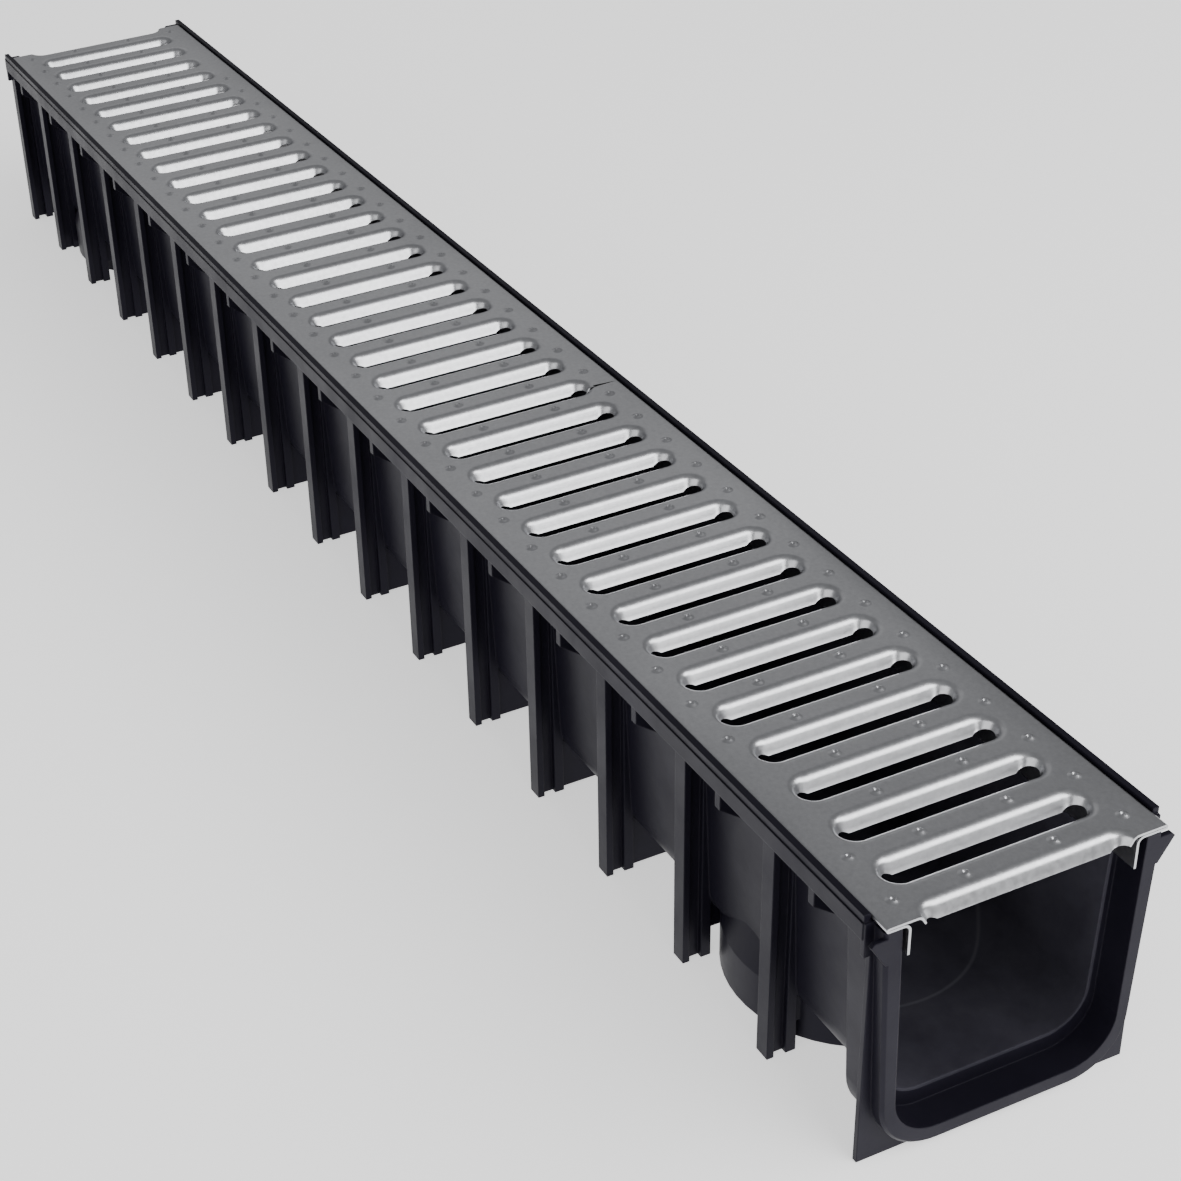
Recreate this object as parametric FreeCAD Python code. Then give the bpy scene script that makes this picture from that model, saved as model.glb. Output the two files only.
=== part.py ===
import FreeCAD, Part
import math
import os

# Linear drainage channel with a drop-in slotted grating, in millimetres.
# +X runs along the channel to the socket end, +Z is up, the feet stand on Z = 0.
# Depths are measured down from the top face of the grating.

V = FreeCAD.Vector

# Overall
HEIGHT = 115.0              # feet to the top face of the grating
END_REACH = 506.2           # centre to each extreme end
OVER = 1.0                  # how far a cutting solid passes the face it cuts

# Grating sheet
SHEET = 1.0                 # sheet thickness
GRATING_LENGTH = 996.2
GRATING_END = END_REACH     # near end of the sheet
GRATING_START = GRATING_END - GRATING_LENGTH
PITCHES = 38                # from the cut-open slot at one end to the one at the other
PITCH = 26.316
SLOT_LEAD = -2.3            # the first slot's centre from the sheet's far end
SHEET_HALF = 58.4           # half width over the folded edges
FOLD_GAP = 0.2              # between the two layers of the folded edge
HEM = 2 * SHEET + FOLD_GAP  # thickness of the folded edge
LEG_LEFT = 49.3             # middle to the outer face of the -Y leg
LEG_RIGHT = 46.3            # middle to the outer face of the +Y leg
LEG_DROP = 15.0             # top face to the lower edge of the legs
BEND_INSIDE = 2.0           # inside radius of the bend above each leg
SLOT_HALF_LENGTH = 46.0     # over the lips
SLOT_HALF_WIDTH = 9.9       # over the lips, also the radius of the slot's round ends
LIP_RADIUS = 6.1            # the lips turn in and down by a quarter round
LIP_FACE_TURNS = (0, 30, 60, 90)    # degrees at the corners of the lip's upper side
LIP_BACK_TURNS = (0, 45, 90)        # and of its underside
END_FLATS = 6               # flats in each round end

# Slit that runs from one slot towards the edge
SLIT_SLOT = 23
SLIT_START = 37.7
SLIT_END = 57.0
SLIT_OFFSET = 3.0
SLIT_BOW = 1.0
SLIT_WIDTH = 1.1
SLIT_MIDDLE = 0.66          # width halfway along

# Trough
WALL = 2.8
FLOOR = 3.0
DRAFT = 0.042               # the walls lean in by this much per millimetre of depth
TROUGH_HALF = 47.9          # inner half width at the height of the grating's top
FLOOR_DEPTH = 96.5          # grating's top to the inner floor
FLOOR_RADIUS = 16.0
SEAT_DEPTH = HEM            # the folded edge lies on the seat
SEAT_THICK = 3.0
SEAT_CHAMFER = BEND_INSIDE
EDGE_CLEARANCE = 0.4        # between the folded edge and the rim
LEG_CLEARANCE = 0.6         # between the wider leg and the groove it hangs in
GROOVE_HALF = max(LEG_LEFT, LEG_RIGHT) + LEG_CLEARANCE
GROOVE_DEPTH = LEG_DROP + 1.5 * LEG_CLEARANCE

# Rim
RIM_RISE = 0.8              # rim above the grating
RIM_HALF = 61.9
RIM_SET_IN = 0.45           # the upper band of the rim is set in
RIM_BAND = 2.5              # grating's top to the lower band
RIM_DROP = 9.9              # grating's top to the rim's lower edge
RIM_WALL = 2.5

# Ribs across the channel
FIN_PITCH = 62.2
FIN_COUNT = 15
WEB = 2.4
FLANGE = 7.4
FLANGE_THICK = 3.0
FIN_HALF = 59.0
RIDGE_IN = 46.3
RIDGE_OUT = 50.7
PLATE = 2.3
PLATE_HALF = 61.5
PLATE_STEP = 17.0           # grating's top to the step in the end plates
PLATE_BAY = 8               # bays from the middle to each end plate
PLATE_POS = FIN_PITCH * PLATE_BAY

# Gussets under the rim, midway between the ribs
GUSSET = 3.5
GUSSET_HALF = 61.5
GUSSET_DROP = 17.0
GUSSET_SLOPE = 0.75

# Socket at the near end
SOCKET_BACK = 483.0
SOCKET_STEP = 492.1
SOCKET_FRONT = 505.1
SOCKET_OUT = 57.9
SOCKET_OUT_DRAFT = 0.042
SOCKET_OUT_DEPTH = 111.5
SOCKET_OUT_RADIUS = 25.0
SOCKET_EDGE = 1.2           # chamfer round the collar's front
SOCKET_IN = 51.0
SOCKET_IN_DRAFT = 0.03
SOCKET_IN_DEPTH = 104.5
SOCKET_IN_RADIUS = 20.0
SOCKET_SHOULDER_HALF = 53.5
SOCKET_SHOULDER_DEPTH = 3.3
EAR_HALF = 63.3             # to the ear's tip
EAR_FLAT = 62.0             # to the end of the ear's level top edge
EAR_TOP = 6.0
EAR_TIP = 7.4
EAR_ROOT = 57.0
EAR_LOW = 17.6
EAR = 2.0

# Spigot at the far end
SPIGOT_TOP = GROOVE_DEPTH
SPIGOT_CLEARANCE = 0.5

# Closed bottom outlets
OUTLET_POS = 407.5
OUTLET_RADIUS = 52.0
OUTLET_WALL = 3.0
OUTLET_BOTTOM = 112.0
OUTLET_TOP = 92.0
OUTLET_SHOULDER = 20.0      # height over which the pipe's top blends into the walls
OUTLET_SHRINK = 6.5         # and by how much the radius shrinks there
OUTLET_RIBS = (6, 7)        # ribs that stop short above an outlet
OUTLET_RIB_BOTTOM = 103.0


def z_at(depth):
    return HEIGHT - depth


def rounded_wire(corners):
    """Closed wire through (point, radius) corners, with tangent arcs at the radii."""
    edges = []
    ends = []
    count = len(corners)
    for i in range(count):
        before = corners[i - 1][0]
        here, radius = corners[i]
        after = corners[(i + 1) % count][0]
        if radius <= 0:
            ends.append((here, here))
            continue
        u = (before - here).normalize()
        w = (after - here).normalize()
        half = u.getAngle(w) / 2
        back = radius / math.tan(half)
        start = here + u * back
        stop = here + w * back
        middle = here + (u + w).normalize() * (radius / math.sin(half) - radius)
        edges.append(Part.Arc(start, middle, stop).toShape())
        ends.append((start, stop))
    for i in range(count):
        leave = ends[i][1]
        arrive = ends[(i + 1) % count][0]
        if leave.distanceToPoint(arrive) > 1e-6:
            edges.append(Part.LineSegment(leave, arrive).toShape())
    return Part.Wire(Part.__sortEdges__(edges))


def mirrored(half):
    """Full outline from the +Y half of a section, given as (y, depth, radius)."""
    left = [(-y, d, r) for y, d, r in reversed(half) if abs(y) > 1e-9]
    return list(half) + left


def bar(section, x0, x1):
    """Solid along X from a section of (y, depth below the grating's top, radius)."""
    corners = [(V(x0, y, z_at(d)), r) for y, d, r in section]
    return Part.Face(rounded_wire(corners)).extrude(V(x1 - x0, 0, 0))


def block(x0, x1, y0, y1, d0, d1):
    """Box between two depths below the grating's top."""
    return Part.makeBox(x1 - x0, y1 - y0, d1 - d0, V(x0, y0, z_at(d1)))


def inner_half(depth):
    return TROUGH_HALF - DRAFT * depth


def outer_half(depth):
    return inner_half(depth) + WALL


def both_sides(shape):
    return [shape, shape.mirror(V(0, 0, 0), V(0, 1, 0))]


def edge_half(leg):
    """Flat top, hem folded back under the edge, and a leg bent down from the hem."""
    fold = 0.499 * HEM
    leg_in = leg - SHEET
    fold_in = SHEET_HALF - SHEET - FOLD_GAP / 2
    return [
        (0, 0, 0),
        (SHEET_HALF, 0, fold),
        (SHEET_HALF, HEM, fold),
        (leg, HEM, BEND_INSIDE),
        (leg, LEG_DROP, 0),
        (leg_in, LEG_DROP, 0),
        (leg_in, HEM - SHEET, BEND_INSIDE + SHEET),
        (fold_in, HEM - SHEET, 0),
        (fold_in, SHEET, 0),
        (0, SHEET, 0),
    ]


def folded_sheet():
    right = bar(edge_half(LEG_RIGHT), GRATING_START, GRATING_END)
    left = bar([(-y, d, r) for y, d, r in edge_half(LEG_LEFT)], GRATING_START, GRATING_END)
    return right.fuse(left).removeSplitter()


def slot_outline(half_width, depth):
    """Round-ended outline about the origin, its ends in a few flats."""
    straight = SLOT_HALF_LENGTH - SLOT_HALF_WIDTH
    points = []
    for side in (1, -1):
        for i in range(END_FLATS + 1):
            angle = math.pi * i / END_FLATS
            y = side * (straight + half_width * math.sin(angle))
            points.append(V(side * half_width * math.cos(angle), y, z_at(depth)))
    return Part.makePolygon(points + points[:1])


def slot_stack(stations):
    """Solid through slot outlines at (half width, depth) stations, with flat faces."""
    rings = [[v.Point for v in slot_outline(w, d).Vertexes] for w, d in stations]
    faces = [Part.Face(slot_outline(*stations[0])), Part.Face(slot_outline(*stations[-1]))]
    for upper, lower in zip(rings, rings[1:]):
        for i in range(len(upper)):
            j = i - 1
            corners = [upper[j], upper[i], lower[i], lower[j], upper[j]]
            faces.append(Part.Face(Part.makePolygon(corners)))
    shell = Part.makeShell(faces)
    shell.sewShape()
    solid = Part.Solid(shell)
    solid.fix(1e-6, 1e-6, 1e-6)
    return solid


def slot_hole():
    return slot_stack([(SLOT_HALF_WIDTH, -OVER), (SLOT_HALF_WIDTH, SHEET)])


def quarter(radius, turns):
    """(half width, depth) down a quarter round of the lip, at the given degrees of turn."""
    points = []
    for turn in turns:
        angle = math.radians(turn)
        points.append((SLOT_HALF_WIDTH - radius * math.sin(angle), LIP_RADIUS - radius * math.cos(angle)))
    return points


def lip():
    """Lip of one slot, turned down from the sheet's edge until it stands upright."""
    back = [(SLOT_HALF_WIDTH, 0)] + quarter(LIP_RADIUS - SHEET, LIP_BACK_TURNS)
    face = quarter(LIP_RADIUS, LIP_FACE_TURNS)
    return slot_stack(back).cut(slot_stack(face))


def slit(slot_x):
    """Narrow bowed wedge from the end of one slot to the folded edge."""
    x = slot_x + SLIT_OFFSET
    middle = (SLIT_START + SLIT_END) / 2
    low = z_at(LIP_RADIUS + OVER)
    tip = V(x, SLIT_END, low)
    first = V(x, SLIT_START, low)
    second = V(x + SLIT_WIDTH, SLIT_START, low)
    wall_a = Part.Arc(first, V(x - SLIT_BOW, middle, low), tip).toShape()
    wall_b = Part.Arc(tip, V(x - SLIT_BOW + SLIT_MIDDLE, middle, low), second).toShape()
    mouth = Part.LineSegment(second, first).toShape()
    face = Part.Face(Part.Wire([wall_a, wall_b, mouth]))
    wedge = face.extrude(V(0, 0, LIP_RADIUS + 2 * OVER))
    x0 = slot_x - SLOT_HALF_WIDTH
    x1 = slot_x + SLOT_HALF_WIDTH
    top_layer = block(x0, x1, SLOT_HALF_LENGTH, SLIT_END, -OVER, SHEET)
    end_lip = block(x0, x1, SLIT_START, SLOT_HALF_LENGTH, -OVER, LIP_RADIUS + OVER)
    return wedge.common(top_layer.fuse(end_lip))


def grating():
    centres = [GRATING_START + SLOT_LEAD + PITCH * k for k in range(PITCHES + 1)]
    hole = slot_hole()
    sheet = folded_sheet().cut([hole.translated(V(x, 0, 0)) for x in centres])
    whole = block(GRATING_START, GRATING_END, -SHEET_HALF, SHEET_HALF, -OVER, LIP_RADIUS + OVER)
    one_lip = lip()
    lips = [one_lip.translated(V(x, 0, 0)) for x in centres]
    lips[0] = lips[0].common(whole)
    lips[-1] = lips[-1].common(whole)
    return sheet.multiFuse(lips).cut(slit(centres[SLIT_SLOT])).removeSplitter()


def trough():
    """Outside of the trough, solid up to the seat, with the rim on both sides."""
    rim_in = SHEET_HALF + EDGE_CLEARANCE
    rim_foot = RIM_HALF - RIM_WALL
    under = SEAT_DEPTH + SEAT_THICK
    belly = FLOOR_DEPTH + FLOOR
    groove_out = GROOVE_HALF + WALL
    slope_end = GROOVE_DEPTH + groove_out - outer_half(GROOVE_DEPTH)
    half = [
        (0, SEAT_DEPTH, 0),
        (rim_in, SEAT_DEPTH, 0),
        (rim_in, -RIM_RISE, 0),
        (RIM_HALF - RIM_SET_IN, -RIM_RISE, 0),
        (RIM_HALF - RIM_SET_IN, RIM_BAND, 0),
        (RIM_HALF, RIM_BAND, 0),
        (RIM_HALF, RIM_DROP, 0),
        (rim_foot, RIM_DROP, 0),
        (rim_foot, under, 0),
        (groove_out, under, 0),
        (groove_out, GROOVE_DEPTH, 0),
        (outer_half(slope_end), slope_end, 0),
        (outer_half(belly), belly, FLOOR_RADIUS + WALL),
        (0, belly, 0),
    ]
    return bar(mirrored(half), -PLATE_POS, PLATE_POS)


def cavity(x0, x1):
    """Space inside the trough: a groove for the legs, drafted walls and a rounded floor."""
    half = [
        (0, SEAT_DEPTH - OVER, 0),
        (GROOVE_HALF, SEAT_DEPTH - OVER, 0),
        (GROOVE_HALF, GROOVE_DEPTH, 0),
        (inner_half(GROOVE_DEPTH), GROOVE_DEPTH, 0),
        (inner_half(FLOOR_DEPTH), FLOOR_DEPTH, FLOOR_RADIUS),
        (0, FLOOR_DEPTH, 0),
    ]
    return bar(mirrored(half), x0, x1)


def seat_chamfer():
    half = [
        (0, SEAT_DEPTH, 0),
        (GROOVE_HALF + SEAT_CHAMFER, SEAT_DEPTH, 0),
        (GROOVE_HALF, SEAT_DEPTH + SEAT_CHAMFER, 0),
        (0, SEAT_DEPTH + SEAT_CHAMFER, 0),
    ]
    return bar(mirrored(half), -PLATE_POS - PLATE, SOCKET_FRONT + OVER)


def flanges(x):
    """Outer flange and ridge on both sides, in the FLANGE wide strip round x."""
    top = SEAT_DEPTH + SEAT_THICK / 2
    flange = block(x - FLANGE / 2, x + FLANGE / 2, FIN_HALF - FLANGE_THICK, FIN_HALF, top, HEIGHT)
    ridge = block(x - FLANGE / 2, x + FLANGE / 2, RIDGE_IN, RIDGE_OUT, top, HEIGHT)
    return both_sides(flange) + both_sides(ridge)


def rib(k):
    """Rib round the trough: web, two outer flanges and a ridge along each wall."""
    x = FIN_PITCH * k
    top = SEAT_DEPTH + SEAT_THICK / 2
    web_half = FIN_HALF - FLANGE_THICK / 2
    web = block(x - WEB / 2, x + WEB / 2, -web_half, web_half, top, HEIGHT)
    if abs(k) in OUTLET_RIBS:
        web = web.cut(block(x - WEB, x + WEB, -RIDGE_IN, RIDGE_IN, OUTLET_RIB_BOTTOM, HEIGHT))
    return web.multiFuse(flanges(x))


def end_plate(x):
    section = [
        (PLATE_HALF, SEAT_DEPTH, 0),
        (PLATE_HALF, PLATE_STEP, 0),
        (FIN_HALF, PLATE_STEP, 0),
        (FIN_HALF, HEIGHT, 0),
    ]
    return bar(mirrored(section), x - PLATE / 2, x + PLATE / 2)


def gusset(x):
    """Thin rib under the rim, its lower edge sloping in to the wall."""
    top = SEAT_DEPTH + SEAT_THICK / 2
    reach = inner_half(GUSSET_DROP) + WALL / 2
    low = GUSSET_DROP + (GUSSET_HALF - reach) * GUSSET_SLOPE
    points = [(GUSSET_HALF, top), (GUSSET_HALF, GUSSET_DROP), (reach, low), (reach, top)]
    return bar([(y, d, 0) for y, d in points], x - GUSSET / 2, x + GUSSET / 2)


def socket():
    """Collar that takes the next channel's spigot, with two ears at its front."""
    out_low = SOCKET_OUT - SOCKET_OUT_DRAFT * SOCKET_OUT_DEPTH
    half = [
        (0, SEAT_DEPTH, 0),
        (SOCKET_SHOULDER_HALF, SEAT_DEPTH, 0),
        (SOCKET_SHOULDER_HALF, SOCKET_SHOULDER_DEPTH, 0),
        (SOCKET_OUT, SOCKET_SHOULDER_DEPTH, 0),
        (out_low, SOCKET_OUT_DEPTH, SOCKET_OUT_RADIUS),
        (0, SOCKET_OUT_DEPTH, 0),
    ]
    collar = bar(mirrored(half), SOCKET_BACK, SOCKET_FRONT)
    front = [e for e in collar.Edges if abs(e.BoundBox.XMin - SOCKET_FRONT) < 1e-6 and e.BoundBox.ZMin < z_at(EAR_LOW)]
    collar = collar.makeChamfer(SOCKET_EDGE, front)
    ear_points = [
        (SOCKET_SHOULDER_HALF, EAR_TOP),
        (EAR_FLAT, EAR_TOP),
        (EAR_HALF, EAR_TIP),
        (EAR_ROOT, EAR_LOW),
        (SOCKET_SHOULDER_HALF, EAR_LOW),
    ]
    ear = bar([(y, d, 0) for y, d in ear_points], SOCKET_FRONT - EAR, SOCKET_FRONT)
    return collar.multiFuse(both_sides(ear))


def socket_bore():
    in_low = SOCKET_IN - SOCKET_IN_DRAFT * SOCKET_IN_DEPTH
    half = [
        (0, SEAT_DEPTH - OVER, 0),
        (SOCKET_IN, SEAT_DEPTH - OVER, 0),
        (in_low, SOCKET_IN_DEPTH, SOCKET_IN_RADIUS),
        (0, SOCKET_IN_DEPTH, 0),
    ]
    return bar(mirrored(half), SOCKET_STEP, SOCKET_FRONT + OVER)


def spigot():
    """Open end that slides into a socket with a little play."""
    belly = FLOOR_DEPTH + FLOOR
    slim_top = SOCKET_IN - SOCKET_IN_DRAFT * SPIGOT_TOP - SPIGOT_CLEARANCE
    slim_low = SOCKET_IN - SOCKET_IN_DRAFT * belly - SPIGOT_CLEARANCE
    low = min(slim_low, outer_half(belly))
    half = [
        (0, SPIGOT_TOP, 0),
        (min(slim_top, outer_half(SPIGOT_TOP)), SPIGOT_TOP, 0),
        (low, belly, FLOOR_RADIUS + WALL),
        (0, belly, 0),
    ]
    return bar(mirrored(half), -END_REACH, -PLATE_POS)


def outlet(x):
    """Short pipe under the belly, closed at the floor, its shoulder sloping to the walls."""
    tall = OUTLET_BOTTOM - OUTLET_TOP
    base = V(x, 0, z_at(OUTLET_BOTTOM))
    skin = Part.makeCylinder(OUTLET_RADIUS, tall, base)
    top = V(x, 0, z_at(OUTLET_TOP))
    shoulder = Part.makeCone(OUTLET_RADIUS, OUTLET_RADIUS - OUTLET_SHRINK, OUTLET_SHOULDER, top)
    bore = Part.makeCylinder(OUTLET_RADIUS - OUTLET_WALL, tall, base)
    return skin.cut(bore).fuse(shoulder)


def channel_body():
    outside = [rib(k) for k in range(-(FIN_COUNT // 2), FIN_COUNT // 2 + 1)]
    outside += [end_plate(-PLATE_POS), end_plate(PLATE_POS)]
    outside += flanges(-PLATE_POS + (FLANGE - PLATE) / 2)
    for k in range(-PLATE_BAY, PLATE_BAY):
        outside += both_sides(gusset(FIN_PITCH * (k + 0.5)))
    outside += [outlet(-OUTLET_POS), outlet(OUTLET_POS), spigot(), socket()]
    body = trough().multiFuse(outside)
    body = body.cut([cavity(-END_REACH - OVER, SOCKET_FRONT + OVER), socket_bore(), seat_chamfer()])
    return body.removeSplitter()


os.makedirs("parts", exist_ok=True)
for name, shape in (("channel_body", channel_body()), ("grating", grating())):
    solids = shape.Solids
    print(name, len(solids), shape.isValid(), round(shape.Volume), shape.BoundBox)
    solids[0].exportStep("parts/%s.step" % name)
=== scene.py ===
import math

import bmesh
import bpy
from mathutils import Matrix, Vector

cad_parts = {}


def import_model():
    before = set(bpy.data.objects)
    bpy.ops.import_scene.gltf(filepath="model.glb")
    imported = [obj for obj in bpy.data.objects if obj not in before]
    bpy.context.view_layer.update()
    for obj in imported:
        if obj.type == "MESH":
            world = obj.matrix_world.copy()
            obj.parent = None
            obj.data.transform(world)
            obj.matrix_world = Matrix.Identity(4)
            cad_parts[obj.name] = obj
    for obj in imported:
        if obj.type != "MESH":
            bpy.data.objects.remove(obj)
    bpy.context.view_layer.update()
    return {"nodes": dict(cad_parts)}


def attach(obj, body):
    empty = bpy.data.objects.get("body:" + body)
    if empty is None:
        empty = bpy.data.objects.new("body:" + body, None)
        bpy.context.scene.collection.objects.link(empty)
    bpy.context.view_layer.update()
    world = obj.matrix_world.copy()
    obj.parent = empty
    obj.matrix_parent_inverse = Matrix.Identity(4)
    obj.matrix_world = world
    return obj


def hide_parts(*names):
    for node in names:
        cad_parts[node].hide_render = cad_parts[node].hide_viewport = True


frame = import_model()

# Sizes in metres, in the row frame: +X towards the socket, the feet on Z = 0

# Sheet of the grating
TOP = 0.115                     # top face
END = 0.5062                    # near end
LENGTH = 0.9962
START_X = END - LENGTH          # far end
SHEET = 0.001
SHARP = math.radians(38)        # edges that turn more than this stay sharp
TINY = 1e-6

# Slots, each in its own tile of the sheet
PITCH = 0.026316
PITCHES = 38
BEGIN = START_X - 0.0023        # centre of the first slot, which the sheet's end cuts through
SLOT_HALF_LENGTH = 0.046
SLOT_HALF_WIDTH = 0.0099        # also the radius of the slot's round ends
STRAIGHT = SLOT_HALF_LENGTH - SLOT_HALF_WIDTH
TILE_HALF = 0.0475              # half width of the slotted part, between the margins
END_STEPS = 18
SIDE_STEPS = 4

# Lips
LIP_REACH = 0.0061              # how far a lip reaches into the slot, and how deep
LIP_BEND = 0.00465              # radius of the bend above the lip's straight flank
LIP_TURN = math.radians(61)
LIP_STEPS = 8
LIP_RIM = 0.0008                # flat ring round the slot, before the bend
FLANK_RINGS = (0.5, 0.9)        # shares of the flank with a ring, which keep its shading even
LIP_EASE = 0.0002               # rounding of the lip's edge
EASE_SHARE = 0.4
LIP_END_CUT = 0.4               # share by which the lip is shorter at the slot's ends

# Margins
SHEET_HALF = 0.0584
HEM = 0.0022                    # height of the folded edge
FOLD_STEPS = 8
LEG_OUTER = {1: 0.0463, -1: 0.0493}     # outer face of the leg on each side, from the middle
LEG_DROP = 0.015                # from the top face to the leg's lower edge
LEG_BEND = 0.002
LEG_EASE = 0.0001
BEND_STEPS = 4

# Craters
CRATER_ROWS = (-0.0481, -0.0186, 0.0186, 0.0481)
CRATER_FACES = 14
CRATER_PROFILE = (              # (radius, height), from the foot over the rim into the middle
    (0.0028, -0.00002), (0.0024, 0.00010), (0.0018, 0.00038), (0.0014, 0.00061),
    (0.00115, 0.00072), (0.00095, 0.00064), (0.0006, 0.00022), (0.0003, 0.00012),
)
BARE_BEYOND = 0.03              # the bare stretches lie farther than this from the middle
BARE_NEAR = (0.400, 0.468)      # on the -Y margin
BARE_FAR = (-0.472, -0.377)     # on the +Y margin

# Slit in the +Y margin
SLIT_SLOT = 23
SLIT_X = BEGIN + PITCH * SLIT_SLOT + 0.0033
SLIT_START = 0.0385
SLIT_FULL = 0.0400              # it narrows from here
SLIT_STOP = 0.0572
SLIT_WIDTH = 0.0022
SLIT_TAPER = 0.6                # power by which it narrows
SLIT_BOW = 0.0004
SLIT_LOW = TOP - LIP_REACH - 0.0006     # faces that reach lower, such as the leg's, stay whole

# Channel, for the painted light inside it and the painted highlight of the outlets' ring
WALL_DRAFT = 0.042
FLAT_HALF = 0.0270              # half width of the floor's flat part
ROUND_TOP = 0.0344              # height of the centre of the floor's corners
MID_WALL = 0.01745              # from that centre to the middle of the wall
# the outlet ring below is a painted highlight, a lighter line on the channel's floor round each outlet
OUTLET_X = 0.4075
OUTLET_RING = 0.048             # radius of the line
FLOOR_BELOW = 0.045             # the line shows only under this height
LINE_CORE = 0.0002
LINE_EDGE = 0.0010

# Tones
STEEL_TONES = [(0.25, (0.45, 0.454, 0.468)), (0.75, (0.63, 0.635, 0.65))]
PLASTIC_TONES = [(0.3, (0.0062, 0.0056, 0.0100)), (0.72, (0.0115, 0.0104, 0.0172))]
FLOOR_TONES = [(0.0, (0.90, 0.90, 0.90)), (1.0, (0.92, 0.92, 0.92))]
# painted light: a lighter, mottled tone laid over the channel's inner surfaces in place of light reaching
# inside
PAINTED_INSIDE_LIGHT = (0.055, 0.053, 0.067)
# painted highlight: colour of the lighter ring round each outlet on the channel's floor
OUTLET_HIGHLIGHT = (0.12, 0.12, 0.135)

# Camera, solved from the photo in its own pixels
PHOTO_SIZE = 1181
FOCAL = 2350.26
CENTRE_X = 407.69
CENTRE_Y = 613.92
SENSOR = 36
CAMERA_AT = (0.99266, -0.42834, 0.63418)
CAMERA_RIGHT = Vector((0.421012, 0.905367, -0.055306))
CAMERA_DOWN = Vector((0.473096, -0.271203, -0.838230))
CAMERA_AHEAD = Vector((-0.773905, 0.326740, -0.542505))

FLOOR_HALF = 6

# Sockets of the mix node that belong to colours
MIX_FACTOR = 0
MIX_FIRST = 6
MIX_SECOND = 7
MIX_RESULT = 2


# Materials

def new_material(name):
    mat = bpy.data.materials.new(name)
    mat.use_nodes = True
    nodes = mat.node_tree.nodes
    nodes.clear()
    out = nodes.new("ShaderNodeOutputMaterial")
    shader = nodes.new("ShaderNodeBsdfPrincipled")
    mat.node_tree.links.new(shader.outputs["BSDF"], out.inputs["Surface"])
    return mat, mat.node_tree, shader


def noise(tree, scale, detail=3.0, rough=0.55):
    coord = tree.nodes.new("ShaderNodeTexCoord")
    tex = tree.nodes.new("ShaderNodeTexNoise")
    tex.inputs["Scale"].default_value = scale
    tex.inputs["Detail"].default_value = detail
    tex.inputs["Roughness"].default_value = rough
    tree.links.new(coord.outputs["Object"], tex.inputs["Vector"])
    return tex.outputs["Fac"]


def ramp(tree, source, low, high, at_low, at_high):
    node = tree.nodes.new("ShaderNodeMapRange")
    node.inputs["From Min"].default_value = low
    node.inputs["From Max"].default_value = high
    node.inputs["To Min"].default_value = at_low
    node.inputs["To Max"].default_value = at_high
    tree.links.new(source, node.inputs["Value"])
    return node.outputs["Result"]


def colour_ramp(tree, source, stops):
    """Blends two colours, each given as (position, colour)."""
    node = tree.nodes.new("ShaderNodeValToRGB")
    for element, (position, colour) in zip(node.color_ramp.elements, stops):
        element.position = position
        element.color = (*colour, 1)
    tree.links.new(source, node.inputs["Fac"])
    return node.outputs["Color"]


def mix(tree, factor, first, second):
    """Blends from a colour socket to a fixed colour."""
    node = tree.nodes.new("ShaderNodeMix")
    node.data_type = "RGBA"
    node.inputs[MIX_SECOND].default_value = (*second, 1)
    tree.links.new(factor, node.inputs[MIX_FACTOR])
    tree.links.new(first, node.inputs[MIX_FIRST])
    return node.outputs[MIX_RESULT]


def bump(tree, shader, source, strength, distance, round_edges=0.0):
    node = tree.nodes.new("ShaderNodeBump")
    if round_edges:
        edge = tree.nodes.new("ShaderNodeBevel")
        edge.samples = 4
        edge.inputs["Radius"].default_value = round_edges
        tree.links.new(edge.outputs["Normal"], node.inputs["Normal"])
    node.inputs["Strength"].default_value = strength
    node.inputs["Distance"].default_value = distance
    tree.links.new(source, node.inputs["Height"])
    tree.links.new(node.outputs["Normal"], shader.inputs["Normal"])


def calculate(tree, kind, *values):
    """A math node on numbers and sockets."""
    node = tree.nodes.new("ShaderNodeMath")
    node.operation = kind
    for socket, value in zip(node.inputs, values):
        if isinstance(value, float):
            socket.default_value = value
        else:
            tree.links.new(value, socket)
    return node.outputs["Value"]


def distance(tree, first, second):
    squares = [calculate(tree, "MULTIPLY", value, value) for value in (first, second)]
    return calculate(tree, "SQRT", calculate(tree, "ADD", *squares))


def place(tree):
    coord = tree.nodes.new("ShaderNodeTexCoord")
    split = tree.nodes.new("ShaderNodeSeparateXYZ")
    tree.links.new(coord.outputs["Object"], split.inputs["Vector"])
    return split.outputs["X"], split.outputs["Y"], split.outputs["Z"]


def inside_trough(tree):
    """1 on the channel's inner surfaces, 0 outside, parted along the middle of its walls and floor."""
    _, y, z = place(tree)
    lean = calculate(tree, "MULTIPLY", z, WALL_DRAFT)
    upright = calculate(tree, "SUBTRACT", calculate(tree, "ABSOLUTE", y), lean)
    across = calculate(tree, "MAXIMUM", calculate(tree, "SUBTRACT", upright, FLAT_HALF), 0.0)
    down = calculate(tree, "MAXIMUM", calculate(tree, "SUBTRACT", ROUND_TOP, z), 0.0)
    return calculate(tree, "LESS_THAN", distance(tree, across, down), MID_WALL)


def painted_outlet_highlight(tree):
    """A faint lighter ring on the floor of the channel, where each outlet's wall meets it from below: a
    painted highlight.
    """
    x, y, z = place(tree)
    along = calculate(tree, "SUBTRACT", calculate(tree, "ABSOLUTE", x), OUTLET_X)
    off = calculate(tree, "SUBTRACT", distance(tree, along, y), OUTLET_RING)
    line = ramp(tree, calculate(tree, "ABSOLUTE", off), LINE_CORE, LINE_EDGE, 0.3, 0.0)
    return calculate(tree, "MULTIPLY", line, calculate(tree, "LESS_THAN", z, FLOOR_BELOW))


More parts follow.
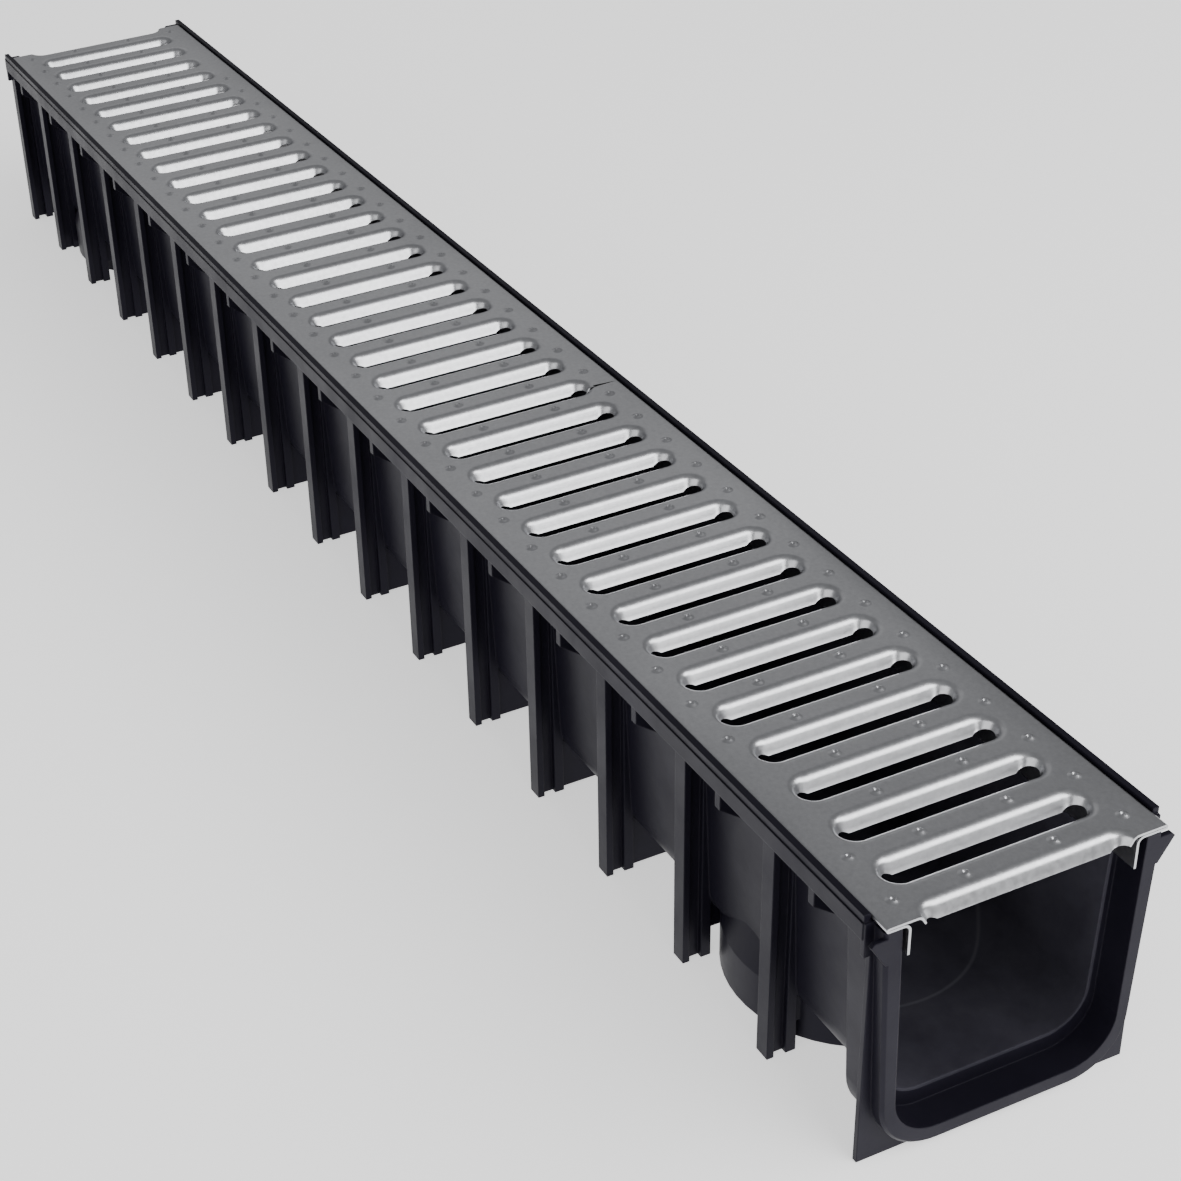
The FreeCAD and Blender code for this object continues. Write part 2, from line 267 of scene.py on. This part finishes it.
def steel():
    mat, tree, shader = new_material("galvanised_steel")
    cloud = ramp(tree, noise(tree, 9.0, 4.0), 0.3, 0.7, 0.1, 0.35)
    mottle = noise(tree, 520.0, 3.0, 0.7)
    grain = noise(tree, 420.0, 3.0, 0.6)
    tone = colour_ramp(tree, calculate(tree, "MULTIPLY_ADD", mottle, 0.55, cloud), STEEL_TONES)
    tree.links.new(tone, shader.inputs["Base Color"])
    tree.links.new(ramp(tree, grain, 0.3, 0.7, 0.28, 0.36), shader.inputs["Roughness"])
    shader.inputs["Metallic"].default_value = 1.0
    bump(tree, shader, grain, strength=0.03, distance=0.0002)
    return mat


def plastic():
    mat, tree, shader = new_material("black_plastic")
    tone = colour_ramp(tree, noise(tree, 14.0, 5.0), PLASTIC_TONES)
    within = inside_trough(tree)
    # painted light: a mottled lighter tone over the whole inside of the channel, in place of light reaching
    # in
    inside_light_mask = ramp(tree, noise(tree, 22.0, 6.0, 0.65), 0.3, 0.7, 0.35, 0.95)
    tone = mix(tree, calculate(tree, "MULTIPLY", inside_light_mask, within), tone, PAINTED_INSIDE_LIGHT)
    # painted highlight: a lighter ring round each outlet on the channel's floor
    tone = mix(tree, calculate(tree, "MULTIPLY", painted_outlet_highlight(tree), within), tone, OUTLET_HIGHLIGHT)
    tree.links.new(tone, shader.inputs["Base Color"])
    streak = ramp(tree, noise(tree, 30.0, 4.0, 0.6), 0.3, 0.7, 0.34, 0.50)
    tree.links.new(streak, shader.inputs["Roughness"])
    bump(tree, shader, noise(tree, 500.0, 2.0), strength=0.10, distance=0.0002, round_edges=0.0008)
    shader.inputs["Specular IOR Level"].default_value = 0.15
    shader.inputs["Specular Tint"].default_value = (0.86, 0.83, 1.0, 1)
    return mat


STEEL = steel()
PLASTIC = plastic()


def use(obj, mat):
    obj.data.materials.clear()
    obj.data.materials.append(mat)
    return obj


# Grating: one slotted sheet

class Build:
    """Collects rings of points and the faces between them."""

    def __init__(self):
        self.verts = []
        self.faces = []

    def ring(self, points):
        first = len(self.verts)
        self.verts.extend(points)
        return list(range(first, first + len(points)))

    def skin(self, rings, closed=True):
        """Faces from each ring to the next."""
        for here, there in zip(rings, rings[1:]):
            count = len(here)
            for i in range(count if closed else count - 1):
                j = (i + 1) % count
                self.faces.append((here[i], here[j], there[j], there[i]))

    def mesh(self, name):
        data = bpy.data.meshes.new(name)
        data.from_pydata(self.verts, [], self.faces)
        data.validate()
        obj = bpy.data.objects.new(name, data)
        bpy.context.scene.collection.objects.link(obj)
        return obj


def round_the_slot(reach):
    """(x, y) round a slot, where reach gives the distance from the end's centre at a cosine and a sine."""
    points = []
    for side in (1, -1):
        for i in range(END_STEPS + 1):
            angle = math.pi * i / END_STEPS
            radius = reach(math.cos(angle), math.sin(angle))
            points.append((side * radius * math.cos(angle), side * (STRAIGHT + radius * math.sin(angle))))
        width = reach(1.0, 0.0)
        for i in range(1, SIDE_STEPS):
            points.append((-side * width, side * STRAIGHT * (1 - 2 * i / SIDE_STEPS)))
    return points


def tile():
    """(x, y) round the rectangle of sheet that holds one slot."""
    def reach(cosine, sine):
        across = PITCH / 2 / abs(cosine) if abs(cosine) > TINY else math.inf
        along = (TILE_HALF - STRAIGHT) / sine if sine > TINY else math.inf
        return min(across, along)

    points = round_the_slot(reach)
    for corner in [(x * PITCH / 2, y * TILE_HALF) for y in (1, -1) for x in (1, -1)]:
        nearest = min(range(len(points)), key=lambda i: math.dist(points[i], corner))
        points[nearest] = corner
    return points


def lip_profile():
    """(half width, depth) from the flat sheet, down the lip, and back up under the sheet."""
    throat = SLOT_HALF_WIDTH - LIP_REACH
    back = throat + SHEET / math.sin(LIP_TURN)
    low = LIP_REACH - LIP_EASE
    profile = [(SLOT_HALF_WIDTH + LIP_RIM, 0.0)]
    for i in range(LIP_STEPS + 1):
        angle = LIP_TURN * i / LIP_STEPS
        profile.append((SLOT_HALF_WIDTH - LIP_BEND * math.sin(angle), LIP_BEND * (1 - math.cos(angle))))
    width, depth = profile[-1]
    for share in FLANK_RINGS:
        profile.append((width + (throat - width) * share, depth + (LIP_REACH - depth) * share))
    profile += [(throat + LIP_EASE * EASE_SHARE, low), (throat + LIP_EASE, LIP_REACH)]
    profile += [(back - LIP_EASE, LIP_REACH), (back + LIP_EASE * EASE_SHARE, low)]
    inner = LIP_BEND - SHEET
    for i in range(LIP_STEPS + 1):
        angle = LIP_TURN * (1 - i / LIP_STEPS)
        profile.append((SLOT_HALF_WIDTH - inner * math.sin(angle), LIP_BEND - inner * math.cos(angle)))
    profile.append((SLOT_HALF_WIDTH + LIP_RIM, SHEET))
    return profile


def lip_ring(width, depth, under):
    """(x, y, depth) round a lip, which gets shorter towards the slot's ends."""
    inward = SLOT_HALF_WIDTH - width
    cut = LIP_END_CUT if inward > 0 else 0.0
    flat = SHEET if under else 0.0
    ring = []
    for x, y in round_the_slot(lambda cosine, sine: SLOT_HALF_WIDTH - inward * (1 - cut * sine)):
        past = max(0.0, abs(y) - STRAIGHT)
        endward = past / math.hypot(x, past) if past else 0.0
        ring.append((x, y, flat + (depth - flat) * (1 - LIP_END_CUT * endward)))
    return ring


def slots(build):
    """The sheet's tiles, one round each slot."""
    profile = lip_profile()
    tip = max(range(len(profile)), key=lambda i: profile[i][1])
    levels = [[(x, y, 0.0) for x, y in tile()]]
    levels += [lip_ring(width, depth, i > tip) for i, (width, depth) in enumerate(profile)]
    levels += [[(x, y, SHEET) for x, y in tile()]]
    for k in range(PITCHES + 1):
        centre = BEGIN + PITCH * k
        build.skin([build.ring([(centre + x, y, TOP - depth) for x, y, depth in level]) for level in levels])


def cut_edges(cut):
    return [item for item in cut["geom_cut"] if isinstance(item, bmesh.types.BMEdge)]


def outlines(near):
    """The loops of points in a map from each point to its neighbours."""
    left = set(near)
    while left:
        here = min(left, key=lambda vert: (vert.co.y, vert.co.z))
        loop, last = [here], None
        left.discard(here)
        while True:
            step = [vert for vert in near[here] if vert is not last and vert in left]
            if not step:
                break
            last, here = here, step[0]
            left.discard(here)
            loop.append(here)
        yield loop


def trim(obj, x, side):
    """Cuts the sheet square at an end and closes the cut metal."""
    mesh = bmesh.new()
    mesh.from_mesh(obj.data)
    geom = mesh.verts[:] + mesh.edges[:] + mesh.faces[:]
    cut = bmesh.ops.bisect_plane(
        mesh, geom=geom, plane_co=(x, 0, 0), plane_no=(side, 0, 0), dist=1e-7, clear_outer=True)
    near = {}
    for edge in cut_edges(cut):
        for vert, other in (edge.verts, reversed(edge.verts)):
            near.setdefault(vert, []).append(other)
    # The sheet is still open where its margins will be joined on, so its two open ends there are linked.
    for margin in (1, -1):
        ends = [vert for vert in near if len(near[vert]) == 1 and vert.co.y * margin > 0]
        if len(ends) == 2:
            near[ends[0]].append(ends[1])
            near[ends[1]].append(ends[0])
    for loop in outlines(near):
        if len(loop) > 2:
            mesh.faces.new(loop)
    mesh.to_mesh(obj.data)
    mesh.free()


def margin_outline(leg):
    """(y, depth) round a margin's section: its top, the folded edge, the leg, and back under the sheet."""
    fold = HEM / 2
    centre = SHEET_HALF - fold
    outline = [(TILE_HALF, 0.0), (centre, 0.0)]
    for i in range(1, FOLD_STEPS):
        angle = math.pi * i / FOLD_STEPS
        outline.append((centre + fold * math.sin(angle), fold * (1 - math.cos(angle))))
    outline.append((centre, HEM))
    for i in range(BEND_STEPS + 1):
        angle = math.pi / 2 * i / BEND_STEPS
        outline.append((leg + LEG_BEND * (1 - math.sin(angle)), HEM + LEG_BEND * (1 - math.cos(angle))))
    inside = leg - SHEET
    outline += [(leg, LEG_DROP - LEG_EASE), (leg - LEG_EASE, LEG_DROP)]
    outline += [(inside + LEG_EASE, LEG_DROP), (inside, LEG_DROP - LEG_EASE)]
    wide = LEG_BEND + SHEET
    for i in range(BEND_STEPS + 1):
        angle = math.pi / 2 * (1 - i / BEND_STEPS)
        outline.append((inside + wide * (1 - math.sin(angle)), HEM - SHEET + wide * (1 - math.cos(angle))))
    gap = fold - SHEET
    for i in range(BEND_STEPS + 1):
        angle = math.pi * (1 - i / BEND_STEPS)
        outline.append((centre + gap * math.sin(angle), fold - gap * math.cos(angle)))
    outline.append((TILE_HALF, SHEET))
    return outline


def margins(build):
    """Each side of the sheet: flat margin, folded edge, bend and leg."""
    for side in (1, -1):
        outline = margin_outline(LEG_OUTER[side])
        rings = []
        for k in range(PITCHES + 2):
            x = min(max(BEGIN + PITCH * (k - 0.5), START_X), END)
            rings.append(build.ring([(x, side * y, TOP - depth) for y, depth in outline]))
        build.skin(rings, closed=False)
        build.faces.append(tuple(rings[0]))
        build.faces.append(tuple(reversed(rings[-1])))


def bare(x, y):
    """Whether a place is on a stretch of margin without craters."""
    near = y < -BARE_BEYOND and BARE_NEAR[0] < x < BARE_NEAR[1]
    far = y > BARE_BEYOND and BARE_FAR[0] < x < BARE_FAR[1]
    return near or far


def crater(build, x, y):
    rings = []
    for radius, height in CRATER_PROFILE:
        angles = [2 * math.pi * i / CRATER_FACES for i in range(CRATER_FACES)]
        circle = [(x + radius * math.cos(angle), y + radius * math.sin(angle)) for angle in angles]
        rings.append(build.ring([(cx, cy, TOP + height) for cx, cy in circle]))
    build.skin(rings)
    build.faces.append(tuple(rings[-1]))


def craters(build):
    """Small raised craters between the slots, on the bars and the margins."""
    for k in range(PITCHES):
        x = BEGIN + PITCH * (k + 0.5)
        for y in CRATER_ROWS:
            if not bare(x, y):
                crater(build, x, y)


def in_slit(face):
    """Whether the slit cuts a face of the sheet."""
    xs, ys, zs = zip(*(vert.co for vert in face.verts))
    flat_end = SHEET_HALF - HEM / 2 + TINY
    return min(xs) < SLIT_X < max(xs) and min(ys) > SLIT_START and max(ys) <= flat_end and min(zs) > SLIT_LOW


def open_slit(obj):
    """Parts the sheet from the end of one slot almost to its edge."""
    mesh = bmesh.new()
    mesh.from_mesh(obj.data)
    faces = [face for face in mesh.faces if in_slit(face)]
    edges = {edge for face in faces for edge in face.edges}
    verts = {vert for face in faces for vert in face.verts}
    cut = bmesh.ops.bisect_plane(
        mesh, geom=faces + list(edges) + list(verts), plane_co=(SLIT_X, 0, 0), plane_no=(1, 0, 0), dist=1e-7)
    bmesh.ops.split_edges(mesh, edges=cut_edges(cut))
    for vert in mesh.verts:
        x, y, z = vert.co
        if abs(x - SLIT_X) > TINY or not SLIT_START < y < SLIT_STOP or z < SLIT_LOW:
            continue
        share = max(0, (y - SLIT_FULL) / (SLIT_STOP - SLIT_FULL))
        bow = SLIT_BOW * math.sin(math.pi * share)
        half = SLIT_WIDTH / 2 * (1 - share) ** SLIT_TAPER
        middle = sum(face.calc_center_median().x for face in vert.link_faces) / max(1, len(vert.link_faces))
        vert.co.x += (half if middle > SLIT_X else -half) - bow
    mesh.to_mesh(obj.data)
    mesh.free()


def join(obj, other):
    mesh = bmesh.new()
    mesh.from_mesh(obj.data)
    mesh.from_mesh(other.data)
    mesh.to_mesh(obj.data)
    mesh.free()
    bpy.data.objects.remove(other)
    return obj


def grating():
    tiles = Build()
    slots(tiles)
    obj = tiles.mesh("grating_sheet")
    trim(obj, END, 1)
    trim(obj, START_X, -1)
    edges = Build()
    margins(edges)
    craters(edges)
    obj = join(obj, edges.mesh("edges"))
    open_slit(obj)
    obj.data.shade_smooth()
    obj.data.set_sharp_from_angle(angle=SHARP)
    return use(obj, STEEL)


sheet = grating()
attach(sheet, "root")
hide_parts("grating")


# Channel
channel = frame["nodes"]["channel_body"]
use(channel, PLASTIC)


# Floor, light and camera

def floor():
    data = bpy.data.meshes.new("floor")
    corners = [(-1, -1), (1, -1), (1, 1), (-1, 1)]
    data.from_pydata([(x * FLOOR_HALF, y * FLOOR_HALF, 0) for x, y in corners], [], [(0, 1, 2, 3)])
    obj = bpy.data.objects.new("floor", data)
    bpy.context.scene.collection.objects.link(obj)
    mat, tree, shader = new_material("floor")
    tree.links.new(colour_ramp(tree, noise(tree, 2.0), FLOOR_TONES), shader.inputs["Base Color"])
    shader.inputs["Roughness"].default_value = 0.9
    shader.inputs["Emission Color"].default_value = (1, 1, 1, 1)
    shader.inputs["Emission Strength"].default_value = 0.9
    use(obj, mat)


def area(name, at, target, size, power):
    light = bpy.data.lights.new(name, "AREA")
    light.shape = "RECTANGLE"
    light.size, light.size_y = size
    light.energy = power
    obj = bpy.data.objects.new(name, light)
    obj.location = at
    obj.rotation_euler = (Vector(target) - Vector(at)).to_track_quat("-Z", "Y").to_euler()
    bpy.context.scene.collection.objects.link(obj)


def world():
    studio = bpy.data.worlds.new("studio")
    studio.use_nodes = True
    back = studio.node_tree.nodes["Background"]
    back.inputs["Color"].default_value = (0.97, 0.975, 1.0, 1)
    back.inputs["Strength"].default_value = 0.25
    bpy.context.scene.world = studio


def camera():
    data = bpy.data.cameras.new("camera")
    data.sensor_width = SENSOR
    data.lens = SENSOR * FOCAL / PHOTO_SIZE
    data.shift_x = (PHOTO_SIZE / 2 - CENTRE_X) / PHOTO_SIZE
    data.shift_y = (CENTRE_Y - PHOTO_SIZE / 2) / PHOTO_SIZE
    obj = bpy.data.objects.new("camera", data)
    turn = Matrix((CAMERA_RIGHT, -CAMERA_DOWN, -CAMERA_AHEAD)).transposed()
    obj.matrix_world = Matrix.Translation(CAMERA_AT) @ turn.to_4x4()
    bpy.context.scene.collection.objects.link(obj)
    bpy.context.scene.camera = obj


floor()
world()
area("front", at=(2.1, 1.3, 1.9), target=(0.1, 0, 0.1), size=(4.0, 1.5), power=100)
area("back", at=(-2.0, 0.5, 1.4), target=(0, 0, 0.1), size=(2.4, 1.4), power=2.2)
area("side", at=(1.1, -2.0, 1.0), target=(0, 0, 0.1), size=(2.6, 1.2), power=16)
camera()
